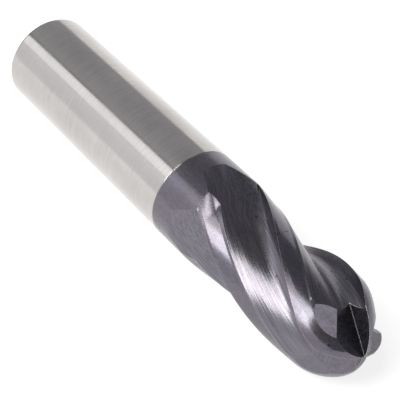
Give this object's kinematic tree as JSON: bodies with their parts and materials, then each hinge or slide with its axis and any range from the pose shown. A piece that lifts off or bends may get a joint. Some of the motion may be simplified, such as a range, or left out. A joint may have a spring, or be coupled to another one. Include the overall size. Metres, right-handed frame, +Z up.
{
  "type": "ball-nose end mill",
  "caption": "Ball-nose end mill: plain round ground shank with a dark-coated, helically fluted cutting head brazed to its front.",
  "frame": {"origin": "centre of the shank's flat end face, on the tool axis", "axes": "+X along the tool axis from the shank end to the tip, +Z up with the tool lying on its side, +Y to the left seen from the shank end"},
  "size_m": [0.1016, 0.019, 0.019],
  "materials": {
    "ground_steel": "fine cylindrical grinding, bright",
    "braze_metal": "thin silver-brazing film, flush ground",
    "dark_coating": "thin violet-grey hard coating over ground carbide, glossy"
  },
  "bodies": {
    "root": {"shank": "ground_steel", "braze_joint": "braze_metal", "cutting_head": "dark_coating"}
  },
  "joints": []
}
